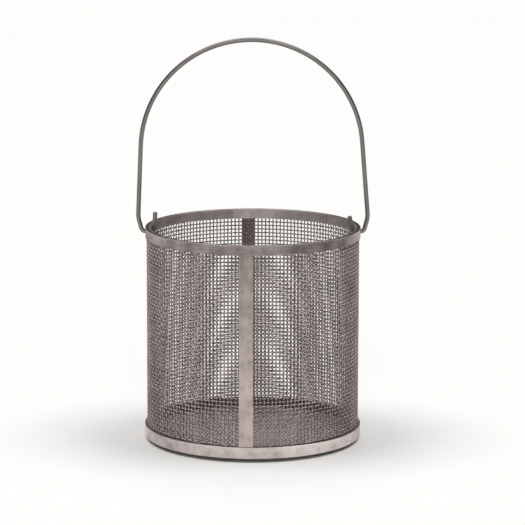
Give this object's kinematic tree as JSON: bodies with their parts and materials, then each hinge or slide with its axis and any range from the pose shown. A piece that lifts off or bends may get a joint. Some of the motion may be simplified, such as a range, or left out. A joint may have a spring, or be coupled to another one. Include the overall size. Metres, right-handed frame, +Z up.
{
  "type": "basket strainer",
  "caption": "Open-topped cylindrical strainer basket of woven stainless wire cloth, with banded rim and base, covered seams and a swinging wire bail handle.",
  "frame": {"origin": "centre of the base, on the surface that the basket stands on", "axes": "+Z up out of the open top, X through the bail's two pivots, -Y towards the front seam strap"},
  "size_m": [0.2169, 0.202, 0.3731],
  "materials": {
    "woven_cloth": "woven stainless wire, drawn and dull",
    "rim_strip": "rolled stainless strip, satin",
    "base_strip": "rolled stainless strip, brushed and bright",
    "seam_strip": "rolled stainless strip, satin",
    "bail_wire": "drawn stainless wire, satin"
  },
  "bodies": {
    "basket": {"wall_panel_left": "woven_cloth", "wall_panel_right": "woven_cloth", "floor_mesh": "woven_cloth", "rim_outer_band": "rim_strip", "rim_inner_band": "rim_strip", "base_band": "base_strip", "floor_angle_ring": "base_strip", "front_seam_strap": "seam_strip", "back_seam_strap": "seam_strip"},
    "handle": {"bail": "bail_wire"}
  },
  "joints": [
    {"name": "bail_swing", "type": "hinge", "parent": "basket", "child": "handle", "pos_m": [0, 0, 0.1925], "axis": [1, 0, 0], "range_deg": [-140, 140]}
  ]
}
